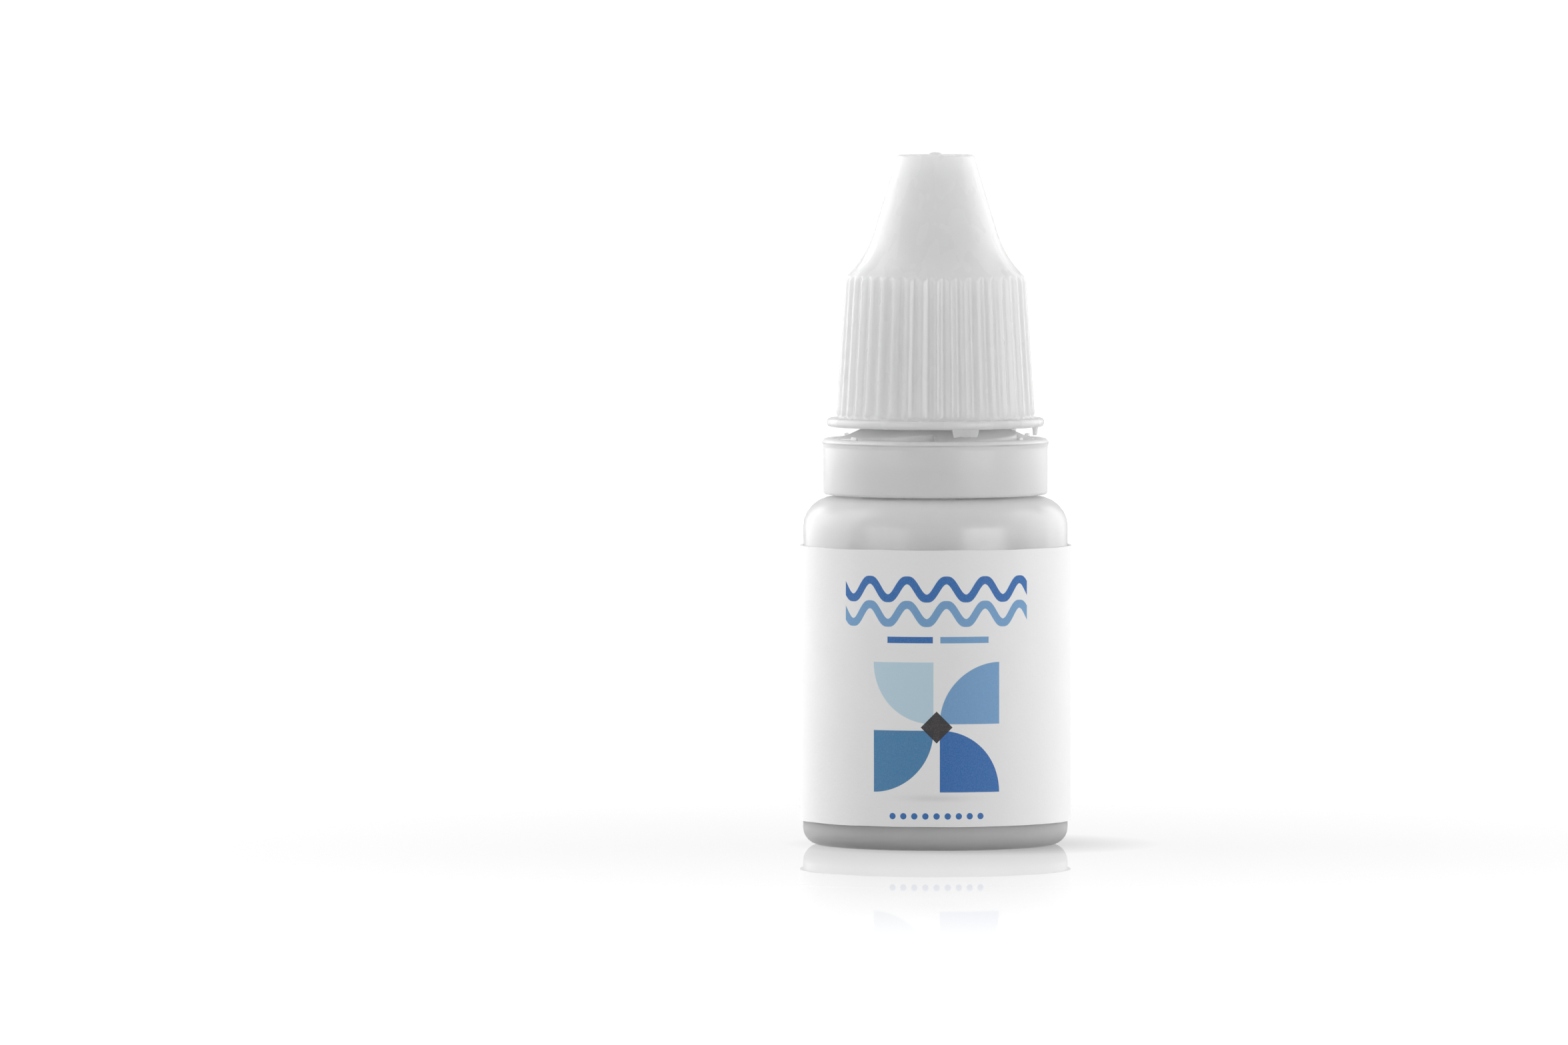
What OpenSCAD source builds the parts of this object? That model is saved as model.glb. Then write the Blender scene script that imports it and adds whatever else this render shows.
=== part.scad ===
// Eye drop bottle with a dropper insert, a tamper band and a ribbed screw cap.
// The bottle stands on z = 0 with its axis on Z. The front of its label faces -Y.

/* [Body] */
// Outer diameter of the body
body_d = 25; // [23:0.5:32]
// Height from the base to the top of the shoulder
body_h = 32.9; // [31:0.05:44]
// Radius of the shoulder's round
shoulder_r = 2.9; // [2:0.1:3.2]
// Radius of the round at the heel
heel_r = 1.6; // [1:0.1:2.2]
// Thickness of the body's wall
body_wall = 0.9; // [0.6:0.05:1.2]
// Depth of the hollow under the base
push_up = 0.6; // [0.3:0.1:1]
// Width of the ring that the base stands on
foot_ring_w = 1.4; // [1:0.1:2]

/* [Label] */
// Thickness of the paper
paper_t = 0.3; // [0.1:0.05:0.4]
// Height of the label's lower edge above the base
label_z = 2.35; // [2.3:0.05:4]
// Height of the label
label_h = 25.95; // [20:0.05:27]
// Length of the lap where the label's ends meet, as an angle
lap_angle = 16; // [8:1:30]
// Direction of the lap, counted from the front to the right
lap_at = 215; // [120:5:240]

/* [Neck] */
// Diameter of the neck between the turns of its thread
neck_d = 11.5; // [11:0.1:12.5]
// Height of the neck above the shoulder
neck_h = 18.85; // [18.6:0.05:21]
// Bore of the neck
neck_bore = 9.4; // [8.6:0.1:10]
// Diameter of the neck's root, below the ratchet flange
root_d = 14.4; // [13.6:0.2:14.8]
// Diameter over the ratchet flange's wings
wing_d = 18.6; // [18:0.1:18.8]
// Depth that the flange loses from the top of one wing to the next step
wing_fall = 1.6; // [1.2:0.1:1.8]
// Number of wings
wings = 4; // [3:1:5]
// Height of the flange's underside above the shoulder
flange_z = 4.45; // [4.2:0.05:4.8]
// Height of the flange's upright rim
flange_rim = 0.9; // [0.6:0.1:1.2]
// Slope of the cone above the rim
cone_slope = 24; // [18:1:28]

/* [Thread] */
// Rise in one turn
lead = 5; // [4.6:0.1:5.4]
// Depth of the thread
thread_depth = 1.35; // [1.1:0.05:1.4]
// Turns of thread on the neck
neck_turns = 1.8; // [1.5:0.05:1.85]
// Turns of thread in the cap
cap_turns = 1.45; // [1:0.05:1.5]
// Height of the neck thread's first crest above the shoulder
thread_z = 8.05; // [7.95:0.05:8.2]
// Thickness of the thread at its crest
crest_w = 0.45; // [0.35:0.05:0.6]
// Gap between the two threads, sideways and up
thread_gap = 0.2; // [0.15:0.01:0.3]

/* [Dropper] */
// Height of the insert's flange
insert_flange_h = 2.2; // [1.8:0.1:2.6]
// Diameter of the insert's flange
insert_flange_d = 11.2; // [10.6:0.1:11.4]
// Diameter of the nozzle's straight part
nozzle_d = 5.9; // [5.4:0.1:6.2]
// Height of the nozzle above the flange
nozzle_h = 9.1; // [8.6:0.1:9.6]
// Height of the nozzle's straight part
nozzle_straight = 4.6; // [4:0.1:5]
// Diameter of the nozzle at its tip
tip_d = 2.7; // [2.4:0.1:3]
// Diameter of the dished mouth in the tip
mouth_d = 1.9; // [1.6:0.1:2]
// Diameter of the hole that meters the drop
meter_d = 0.6; // [0.4:0.1:0.8]
// Bore of the sleeve in the neck
sleeve_bore = 7; // [6.4:0.1:7.2]
// Length of the sleeve below the neck's rim
sleeve_h = 7.8; // [6:0.1:9]
// How far the sleeve's sealing bead bites into the neck's bore
bead_bite = 0.05; // [0.02:0.01:0.1]

/* [Cap] */
// Height of the cap's brim above the tamper band
band_gap = 1.1; // [0.9:0.05:1.2]
// Thickness of the crown above the plug
crown_t = 1.35; // [1:0.05:2]
// Diameter of the brim
brim_d = 20.5; // [20.2:0.1:21.4]
// Thickness of the brim
brim_t = 0.8; // [0.7:0.05:1]
// Diameter over the ribs at the brim
rib_low_d = 18.8; // [18.4:0.1:19.2]
// Diameter over the ribs at the ledge
rib_top_d = 17.1; // [17:0.1:18]
// Height of the ledge above the brim's underside
ledge_h = 14.3; // [13.8:0.05:15]
// Number of grip ribs
ribs = 40; // [24:1:44]
// Radius of each rib's back
rib_r = 0.5; // [0.4:0.05:0.55]
// How far the ribs stand out
rib_h = 0.3; // [0.2:0.05:0.35]
// Diameter of the cap's flat top
top_d = 7.2; // [7:0.1:8]
// Slope of the cone's side, from upright
taper = 16.9; // [15.5:0.1:17.5]
// Lean of the flare where it meets the ledge, from upright
flare_lean = 45; // [40:1:55]
// Thickness of the cap's wall in the cone
cap_wall = 1.1; // [0.9:0.05:1.3]
// Diameter of the gate mark on the cap's top
gate_d = 1.4; // [1:0.1:1.8]
// Height of the gate mark
gate_h = 0.25; // [0.15:0.05:0.35]

/* [Seal] */
// Diameter of the plug in the cap's crown
seal_d = 5.8; // [5.4:0.1:6]
// Thickness of the plug's disc
seal_t = 0.7; // [0.5:0.05:0.8]
// Height of the plug's skirt round the nozzle's tip
seal_skirt = 1; // [0.8:0.1:1.3]
// Gap between the plug and the nozzle
seal_gap = 0.05; // [0.03:0.01:0.1]
// Running gap between the plug and the cap
plug_play = 0.05; // [0.03:0.01:0.1]

/* [Tamper band] */
// Outer diameter of the band
band_d = 21.2; // [20.8:0.1:21.6]
// Height of the band
band_h = 5.3; // [5:0.05:5.6]
// Gap between the shoulder and the band
band_seat = 0.2; // [0.1:0.05:0.5]
// How far the lip at the band's top stands out
band_lip = 0.08; // [0.04:0.02:0.16]
// Height of the lip
band_lip_h = 0.65; // [0.5:0.05:1]
// Thickness of the band's wall
band_wall = 0.95; // [0.8:0.05:1.05]
// How far the catch bead reaches under the flange's wings
catch_reach = 0.35; // [0.2:0.05:0.45]
// Gap between the band's catches and the flange
catch_gap = 0.2; // [0.15:0.05:0.3]
// Width of each ratchet lug
lug_w = 0.9; // [0.7:0.1:1.2]
// Turn from each lug back to the step that stops it
lug_play = 12; // [10:1:14]
// Height of the bridge stubs left on the band
nib_h = 0.3; // [0.15:0.05:0.35]
// Height of the torn bridge left under the brim
tab_h = 0.75; // [0.4:0.05:0.75]

/* [Hidden] */
$fn = 96;
// Overlap that joins two solids of one piece
bite = 0.3;
// A cut runs this far past the faces that it opens
past = 1;
// Rounds of a crisp edge, of a soft edge and of an inside corner
crisp = 0.2;
soft = 0.3;
hollow = 0.8;
body_r = body_d / 2;
neck_r = neck_d / 2;
bore_r = neck_bore / 2;
root_r = root_d / 2;
rim_z = body_h + neck_h;
crest_r = neck_r + thread_depth;
// Heights of what stands on the neck
band_z = body_h + band_seat;
band_top = band_z + band_h;
brim_z = band_top + band_gap;
insert_top = rim_z + insert_flange_h;
tip_z = insert_top + nozzle_h;
seal_z = tip_z + seal_gap;
seal_top = seal_z + seal_t;
seal_low = seal_z - seal_skirt;
cap_top = seal_top + crown_t;
// The body's outline inside
floor_z = push_up + body_wall;
foot_out_r = body_r - heel_r;
foot_in_r = foot_out_r - foot_ring_w;
root_wall = 1.1;
// The base rises from the foot ring over this width
foot_slope = 1;
// The bore narrows from this far below the flange to as far above it
bore_ease = 0.4;
// The ratchet flange: low, upright rim, cone
wing_r = wing_d / 2;
flange_low = body_h + flange_z;
flange_high = flange_low + flange_rim;
cone_top = flange_high + (wing_r - neck_r) * tan(cone_slope);
wing_pitch = 360 / wings;
wing_steps = 12;
// Radius of the flange at a share t of the way from one step to the next
function wing_at(t) = wing_r - wing_fall * t;
// The thread is steep under its crest and sloped above it: rise of each flank for each mm of depth
steep = 0.18;
slope = 0.7;
turn_steps = 30;
fade_steps = 5;
least_depth = 0.02;
first_crest = body_h + thread_z;
// The cap's thread lies under the neck's, with its bore clear of the crests and its own crest clear of the neck
cap_bore_r = crest_r + thread_gap;
cap_crest_r = neck_r + 1.25 * thread_gap;
cap_crest_top = -crest_w / 2 - steep * (crest_r - cap_crest_r) - thread_gap;
cap_thread_from = 0.2;
// The insert's sleeve, with a sealing bead, and its inside up to the dished mouth
bead_drop = 3;
bead_z = rim_z - bead_drop;
bead_half = 0.5;
tip_r = tip_d / 2;
nozzle_r = nozzle_d / 2;
nozzle_slope = (nozzle_r - tip_r) / (nozzle_h - nozzle_straight);
sleeve_play = 0.05;
sleeve_r = bore_r - sleeve_play;
// The sleeve's bore starts to narrow this far above the rim
sleeve_over = 0.5;
sleeve_z = rim_z - sleeve_h;
channel_r = 1.9;
// The channel starts to narrow this far below the end of the nozzle's straight part
channel_drop = 0.2;
channel_round = 2;
nozzle_round = 5;
dish_h = 1.2;
meter_h = 0.6;
dish_slope = (mouth_d - meter_d) / 2 / dish_h;
// The cap's outside
brim_r = brim_d / 2;
brim_top = brim_z + brim_t;
ledge_z = brim_z + ledge_h;
rib_low_r = rib_low_d / 2 - rib_h;
ledge_r = rib_top_d / 2 - rib_h;
rib_lean = atan((rib_low_r - ledge_r) / (ledge_z - brim_top));
rib_end_slope = 1.28;
rib_facets = 24;
top_r = top_d / 2;
// The flare's line meets the cone's side at flare_z, and its round takes nearly all of that line
flare_run = (ledge_r - cone_r(ledge_z)) / (sin(flare_lean) - tan(taper) * cos(flare_lean));
flare_z = ledge_z + flare_run * cos(flare_lean);
flare_share = 0.97;
flare_r = flare_share * flare_run / tan((flare_lean - taper) / 2);
flare_top = flare_z + flare_share * flare_run * cos(taper);
function cone_r(z) = top_r + (cap_top - z) * tan(taper);
// The cap's inside: its mouth opens out by mouth_ease, and its bore runs straight to bore_over above the rim
function crown_r(z) = cone_r(z) - cap_wall / cos(taper);
crown_round = 4;
mouth_ease = 0.65;
bore_over = 0.85;
bore_top = rim_z + bore_over;
// The plug and its pocket in the crown, with a bead that holds it there
plug_r = seal_d / 2;
pocket_r = plug_r + plug_play;
stud_h = 0.85;
hold_bead = 0.15;
hold_h = 0.55;
hold_ease = 0.1;
hold_slope = 0.2;
// The band and its catches
band_r = band_d / 2;
band_in_r = band_r - band_wall;
catch_r = wing_r - catch_reach;
catch_top = flange_low - catch_gap;
catch_h = 1.5;
lug_gap = 0.55;
lug_r = wing_at(1) + lug_gap;
lug_half = asin(lug_w / 2 / lug_r);
// Each lug ends lug_drop below the band's top, and its foot is wider behind it and in front of it
lug_drop = 0.2;
lug_behind = 0.6;
lug_ahead = 0.1;
// Where the bridges broke, counted from the front to the right: [angle, width] of what each piece kept
bridge_t = 0.4;
bridge_in = 0.05;
bridge_r = band_in_r + bridge_in;
nibs = [[-51, 0.7], [53, 0.6], [118, 0.6], [178, 0.8], [238, 0.6]];
tabs = [[16, 2.6], [71, 0.6], [132, 0.9], [192, 0.7], [252, 1.1]];

function unit(v) = v / norm(v);
function turn_of(a, b) = a[0] * b[1] - a[1] * b[0];
function from_front(a) = a - 90;
// A round's cut starts this share of its radius outside the corner
cut_push = 0.3;

// The bit between the point of corner i and its round of radius r, with the point pushed out for a clean cut
module corner_bit(points, i, r) {
    n = len(points);
    p = points[i];
    u = unit(points[(i + n - 1) % n] - p);
    v = unit(points[(i + 1) % n] - p);
    half = acos(u * v) / 2;
    inward = unit(u + v);
    difference() {
        polygon([p + v * r / tan(half), p - inward * r * cut_push, p + u * r / tan(half)]);
        translate(p + inward * r / sin(half)) circle(r);
    }
}

// An outline of [x, z, radius] corners, listed anticlockwise, each rounded by a true arc
module outline(corners) {
    n = len(corners);
    points = [for (c = corners) [c[0], c[1]]];
    function bend(i) = turn_of(points[i] - points[(i + n - 1) % n], points[(i + 1) % n] - points[i]);
    difference() {
        union() {
            polygon(points);
            for (i = [0:n - 1])
                if (corners[i][2] > 0 && bend(i) < 0) corner_bit(points, i, corners[i][2]);
        }
        for (i = [0:n - 1])
            if (corners[i][2] > 0 && bend(i) > 0) corner_bit(points, i, corners[i][2]);
    }
}

// A thread on Z that sweeps a profile of [radius, height] points, and fades into base_r at both ends
module helix(profile, base_r, from_turn, to_turn) {
    steps = ceil((to_turn - from_turn) * turn_steps);
    n = len(profile);
    function grown(k) = max(least_depth, min(1, min(k, steps - k) / fade_steps));
    function turn(k) = from_turn + (to_turn - from_turn) * k / steps;
    points = [for (k = [0:steps], p = profile)
        let (r = base_r + (p[0] - base_r) * grown(k), a = 360 * turn(k))
        [r * cos(a), r * sin(a), first_crest + lead * turn(k) + p[1]]];
    sides = [for (k = [0:steps - 1], j = [0:n - 1])
        let (a = k * n + j, b = k * n + (j + 1) % n) each [[a, b, a + n], [b, b + n, a + n]]];
    ends = [[for (j = [n - 1:-1:0]) j], [for (j = [0:n - 1]) steps * n + j]];
    polyhedron(points, concat(sides, ends));
}

module neck_thread() {
    depth = thread_depth + bite;
    profile = [
        [crest_r - depth, -crest_w / 2 - steep * depth],
        [crest_r, -crest_w / 2],
        [crest_r, crest_w / 2],
        [crest_r - depth, crest_w / 2 + slope * depth]
    ];
    helix(profile, crest_r - depth, 0, neck_turns);
}

module cap_thread() {
    depth = cap_bore_r - cap_crest_r + bite;
    profile = [
        [cap_crest_r + depth, cap_crest_top - crest_w - slope * depth],
        [cap_crest_r + depth, cap_crest_top + steep * depth],
        [cap_crest_r, cap_crest_top],
        [cap_crest_r, cap_crest_top - crest_w]
    ];
    helix(profile, cap_crest_r + depth, cap_thread_from, cap_thread_from + cap_turns);
}

// What the flange loses between its wings: each wing falls away anticlockwise from an upright step
module wing_cuts() {
    wheel = [for (k = [0:wings - 1], j = [0:wing_steps])
        let (a = wing_pitch * (k + j / wing_steps), r = wing_at(j / wing_steps))
        [r * cos(a), r * sin(a)]];
    translate([0, 0, flange_low - past]) linear_extrude(cone_top - flange_low + past) difference() {
        circle(wing_r + past);
        polygon(wheel);
    }
}

module bottle_outside() {
    outline([
        [0, push_up, 0],
        [foot_in_r - foot_slope, push_up, hollow],
        [foot_in_r, 0, crisp],
        [body_r, 0, heel_r],
        [body_r, body_h, shoulder_r],
        [root_r, body_h, soft],
        [root_r, flange_low, crisp],
        [wing_r, flange_low, 0],
        [wing_r, flange_high, crisp],
        [neck_r, cone_top, hollow],
        [neck_r, rim_z, crisp],
        [0, rim_z, 0]
    ]);
}

module bottle_inside() {
    outline([
        [0, floor_z, 0],
        [body_r - body_wall, floor_z, hollow],
        [body_r - body_wall, body_h - body_wall, shoulder_r - body_wall],
        [root_r - root_wall, body_h - body_wall, hollow],
        [root_r - root_wall, flange_low - bore_ease, hollow],
        [bore_r, flange_high + bore_ease, hollow],
        [bore_r, rim_z + past, 0],
        [0, rim_z + past, 0]
    ]);
}

module bottle() {
    color("#f3f4f6") difference() {
        union() {
            difference() {
                rotate_extrude() bottle_outside();
                wing_cuts();
            }
            neck_thread();
        }
        rotate_extrude() bottle_inside();
    }
}

module dropper_outside() {
    outline([
        [0, sleeve_z, 0],
        [sleeve_r, sleeve_z, soft],
        [sleeve_r, bead_z - bead_half, 0],
        [bore_r + bead_bite, bead_z - bead_half / 2, 0],
        [bore_r + bead_bite, bead_z + bead_half / 2, 0],
        [sleeve_r, bead_z + bead_half, 0],
        [sleeve_r, rim_z, 0],
        [insert_flange_d / 2, rim_z, crisp],
        [insert_flange_d / 2, insert_top, soft],
        [nozzle_r, insert_top, soft],
        [nozzle_r, insert_top + nozzle_straight, nozzle_round],
        [tip_r, tip_z, crisp],
        [0, tip_z, 0]
    ]);
}

module dropper_inside() {
    outline([
        [0, sleeve_z - past, 0],
        [sleeve_bore / 2, sleeve_z - past, 0],
        [sleeve_bore / 2, rim_z + sleeve_over, hollow],
        [channel_r, insert_top, soft],
        [channel_r, insert_top + nozzle_straight - channel_drop, channel_round],
        [meter_d / 2, tip_z - dish_h - meter_h, 0],
        [meter_d / 2, tip_z - dish_h, 0],
        [mouth_d / 2 + dish_slope * past, tip_z + past, 0],
        [0, tip_z + past, 0]
    ]);
}

module dropper_insert() {
    color("#fafbfb") difference() {
        rotate_extrude() dropper_outside();
        rotate_extrude() dropper_inside();
    }
}

module cap_outside() {
    outline([
        [0, brim_z, 0],
        [brim_r, brim_z, soft],
        [brim_r, brim_top, soft],
        [rib_low_r, brim_top, soft],
        [ledge_r, ledge_z, 0],
        [cone_r(flare_z), flare_z, flare_r],
        [top_r, cap_top, soft],
        [0, cap_top, 0]
    ]);
}

module cap_inside() {
    catch_low = seal_low - hold_h;
    outline([
        [0, brim_z - past, 0],
        [cap_bore_r + mouth_ease, brim_z - past, 0],
        [cap_bore_r + mouth_ease, brim_z, 0],
        [cap_bore_r, brim_z + mouth_ease, 0],
        [cap_bore_r, bore_top, hollow],
        [crown_r(flare_top), flare_top, crown_round],
        [crown_r(catch_low), catch_low, 0],
        [pocket_r - hold_bead, catch_low + hold_ease, 0],
        [pocket_r - hold_bead, seal_low - hold_slope, 0],
        [pocket_r, seal_low - plug_play, 0],
        [pocket_r, seal_top + plug_play, 0],
        [0, seal_top + plug_play, 0]
    ]);
}

// One rib: a bar that leans with the skirt, its end cut on a slope at the ledge
module grip_ribs() {
    length = (ledge_z - brim_z) / cos(rib_lean) + past;
    reach = 2;
    difference() {
        for (i = [0:ribs - 1])
            rotate(from_front(0) + 360 * i / ribs)
                translate([rib_low_r - (rib_r - rib_h), 0, brim_z + bite])
                    rotate([0, -rib_lean, 0])
                        cylinder(r = rib_r, h = length, $fn = rib_facets);
        rotate_extrude() polygon([
            [0, ledge_z],
            [ledge_r, ledge_z],
            [ledge_r + reach, ledge_z - reach * rib_end_slope],
            [ledge_r + reach, ledge_z + reach],
            [0, ledge_z + reach]
        ]);
    }
}

// What a broken bridge left: a stub of the given width, from z upward
module bridge_stub(at, z, h) {
    rotate(from_front(at[0])) translate([bridge_r, -at[1] / 2, z]) cube([bridge_t, at[1], h]);
}

// The low mound that the moulding gate left on the crown
module gate_mark() {
    rotate_extrude() outline([
        [0, cap_top - bite, 0],
        [gate_d / 2, cap_top - bite, 0],
        [gate_d / 2, cap_top + gate_h, 0.8 * gate_h],
        [0, cap_top + gate_h, 0]
    ]);
}

module cap() {
    color("#f5f6f8") {
        difference() {
            union() {
                rotate_extrude() cap_outside();
                grip_ribs();
                for (tab = tabs) bridge_stub(tab, brim_z - tab_h, tab_h + bite);
                gate_mark();
            }
            rotate_extrude() cap_inside();
        }
        cap_thread();
    }
}

module cap_seal() {
    stud_top_r = mouth_d / 2 - seal_gap;
    skirt_r = tip_r + 2 * seal_gap;
    color("#e9ecef") rotate_extrude() outline([
        [0, tip_z - stud_h, 0],
        [stud_top_r - dish_slope * stud_h, tip_z - stud_h, crisp],
        [stud_top_r, tip_z, 0],
        [stud_top_r, seal_z, 0],
        [skirt_r, seal_z, 0],
        [skirt_r + nozzle_slope * seal_skirt, seal_low, 0],
        [plug_r, seal_low, crisp],
        [plug_r, seal_top, crisp],
        [0, seal_top, 0]
    ]);
}

module band_section() {
    lip_z = band_top - band_lip_h;
    outline([
        [band_in_r, band_z, crisp],
        [band_r, band_z, soft],
        [band_r, lip_z, 0],
        [band_r + band_lip, lip_z + band_lip, 0],
        [band_r + band_lip, band_top, soft],
        [band_in_r, band_top, crisp],
        [band_in_r, catch_top, 0],
        [catch_r, catch_top, crisp],
        [catch_r, catch_top - catch_h / 2, soft],
        [band_in_r, catch_top - catch_h, 0]
    ]);
}

// The lugs that meet the wings' steps when the cap is first unscrewed
module ratchet_lugs() {
    foot = band_in_r + bite;
    for (k = [0:wings - 1])
        rotate(wing_pitch * k - lug_half - lug_play)
            translate([0, 0, catch_top - bite]) linear_extrude(band_top - lug_drop - catch_top + bite) polygon([
                [lug_r, -lug_w / 2],
                [foot, -lug_w / 2 - lug_behind],
                [foot, lug_w / 2 + lug_ahead],
                [lug_r, lug_w / 2]
            ]);
}

module tamper_band() {
    color("#f3f5f7") {
        rotate_extrude() band_section();
        ratchet_lugs();
        for (nib = nibs) bridge_stub(nib, band_top - bite, bite + nib_h);
    }
}

// The paper's end laps over its start, one thickness further out
module label() {
    color("#fbfbfb") translate([0, 0, label_z]) {
        rotate_extrude() translate([body_r, 0]) square([paper_t, label_h]);
        rotate(from_front(lap_at)) rotate_extrude(angle = lap_angle)
            translate([body_r + paper_t / 2, 0]) square([paper_t * 1.5, label_h]);
    }
}

bottle();
dropper_insert();
cap();
cap_seal();
tamper_band();
label();
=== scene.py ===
"""Dresses the eye drop bottle: satin white mouldings, a printed paper label, a white studio.

Every length is in metres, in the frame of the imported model. The bottle stands on z = 0 with its
axis on Z, and the front of its label faces -Y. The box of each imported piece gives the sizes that
the looks share with it, and the groups of settings give the rest.
"""

import math

import bmesh
import bpy
from bpy.props import FloatProperty, FloatVectorProperty, IntProperty, PointerProperty
from mathutils import Matrix, Vector, noise


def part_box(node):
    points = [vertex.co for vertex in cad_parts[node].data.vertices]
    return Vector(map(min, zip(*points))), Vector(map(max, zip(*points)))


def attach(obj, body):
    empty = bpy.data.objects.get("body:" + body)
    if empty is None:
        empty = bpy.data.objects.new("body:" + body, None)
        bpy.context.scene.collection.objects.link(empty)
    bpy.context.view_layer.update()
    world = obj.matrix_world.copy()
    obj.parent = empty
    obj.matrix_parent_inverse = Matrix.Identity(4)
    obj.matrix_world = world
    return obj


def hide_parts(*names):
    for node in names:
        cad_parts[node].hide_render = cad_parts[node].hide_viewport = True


bl_info = {
    "name": "Eye drop bottle",
    "version": (1, 0, 0),
    "blender": (4, 5, 0),
    "location": "View3D > Sidebar > Bottle",
    "description": "Builds the looks of a squeeze dropper bottle round its packed model",
    "category": "Object",
}

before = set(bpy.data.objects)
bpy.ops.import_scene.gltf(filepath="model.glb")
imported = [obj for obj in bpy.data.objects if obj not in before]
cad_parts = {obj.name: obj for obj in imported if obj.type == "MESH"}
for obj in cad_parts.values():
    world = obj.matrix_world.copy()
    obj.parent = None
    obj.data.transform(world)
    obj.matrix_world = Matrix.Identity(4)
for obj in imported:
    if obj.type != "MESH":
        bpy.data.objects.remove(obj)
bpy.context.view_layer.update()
MM = 0.001

BOTTLE_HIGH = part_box("bottle")[1]
INSERT_LOW, INSERT_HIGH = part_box("dropper_insert")
CAP_LOW, CAP_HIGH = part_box("cap")
BAND_LOW, BAND_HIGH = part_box("tamper_band")
LABEL_LOW, LABEL_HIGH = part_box("label")

# Rounds of the mouldings: on crisp edges, on soft edges and in hollows
CRISP, SOFT, HOLLOW = 0.2 * MM, 0.3 * MM, 0.8 * MM
# How far a thread or a lug is sunk into its wall
SINK = 0.3 * MM
# Run over rise of the threads' flanks, the steep one and the sloped one
STEEP, SLOPED = 0.18, 0.7
# Turn over which a thread rises out of its wall at each end
THREAD_FADE = math.radians(60)
# Torn bridges: the width of one ragged cell, the thickness, and the gap from the band's bore
CELL, BRIDGE_T, BRIDGE_GAP = 0.2 * MM, 0.4 * MM, 0.05 * MM

# Roughness of each plastic's skin, and the share of the light that soaks through it
PLASTICS = {
    "bottle": (0.24, 0.44),
    "insert": (0.22, 0.35),
    "cap": (0.27, 0.42),
    "band": (0.3, 0.3),
    "seal": (0.5, 0.2),
}
# Soft lamps: where each stands, its width and height, and its power in watts
LAMPS = {
    "left_box": ((-0.62, 0.1, 0.34), (0.5, 0.8), 3.9),
    "right_box": ((0.66, 0.16, 0.3), (0.5, 0.8), 3.0),
    "left_front_box": ((-0.7, -0.75, 0.16), (0.7, 0.3), 2.5),
    "right_front_box": ((0.7, -0.75, 0.16), (0.7, 0.3), 5.0),
    "left_back_box": ((-0.5, 0.5, 0.2), (0.5, 0.4), 2.2),
    "right_back_box": ((0.5, 0.5, 0.2), (0.5, 0.4), 1.6),
}
# What the lamps aim at, and half the width of the floor
LAMP_AIM = (0, 0, 0.035)
FLOOR_HALF = 40


def length(name, description, mm):
    """A length, whose default is given in millimetres."""
    return FloatProperty(
        name=name, description=description, default=mm * MM, min=0, unit="LENGTH", precision=5
    )


def angle(name, description, degrees):
    """An angle, whose default is given in degrees."""
    return FloatProperty(
        name=name, description=description, default=math.radians(degrees), subtype="ANGLE"
    )


def linear(code):
    """The linear colour of a screen colour such as #C0C0C0."""
    parts = [int(code[i : i + 2], 16) / 255 for i in (1, 3, 5)]
    return [p / 12.92 if p <= 0.04045 else ((p + 0.055) / 1.055) ** 2.4 for p in parts]


def colour(name, description, code):
    """A colour, whose default is a screen colour such as #C0C0C0."""
    return FloatVectorProperty(
        name=name, description=description, default=linear(code), subtype="COLOR", min=0, max=1
    )


class BottleSizes(bpy.types.PropertyGroup):
    """Sizes of the moulded bottle"""

    shoulder_z: length("Shoulder height", "Height of the shoulder's top", 32.9)
    shoulder_r: length("Shoulder round", "Radius of the shoulder's round", 2.9)
    heel_r: length("Heel round", "Radius of the round at the heel", 1.6)
    wall: length("Wall", "Thickness of the body's wall", 0.9)
    push_up: length("Push-up", "Depth of the hollow under the base", 0.6)
    foot_ring: length("Foot ring", "Width of the ring that the base stands on", 1.4)
    neck_r: length("Neck radius", "Radius of the neck between its threads", 5.75)
    bore_r: length("Bore radius", "Radius of the neck's bore", 4.7)
    root_r: length("Root radius", "Radius of the neck's root, under the flange", 7.2)
    root_wall: length("Root wall", "Thickness of the root's wall", 1.1)
    wing_r: length("Wing radius", "Greatest radius of the ratchet flange", 9.3)
    wing_fall: length("Wing fall", "What a wing's radius loses up to the next step", 1.6)
    wings: IntProperty(name="Wings", description="Wings on the ratchet flange", default=4, min=3)
    flange_z: length("Flange height", "Height of the flange's underside", 37.35)
    flange_rim: length("Flange rim", "Thickness of the flange's upright rim", 0.9)
    cone_slope: angle("Cone slope", "Slope of the cone above the flange", 24)
    lead: length("Lead", "Rise of the thread in one turn", 5)
    crest_r: length("Crest radius", "Radius over the thread", 7.1)
    crest_w: length("Crest width", "Width of the thread's crest", 0.45)
    first_crest: length("First crest", "Height at which the thread starts", 40.95)
    turns: FloatProperty(
        name="Turns", description="Turns of thread on the neck", default=1.8, min=1
    )
    seam: angle("Seam", "Direction across the mould's parting line, from the right", 97)


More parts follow.
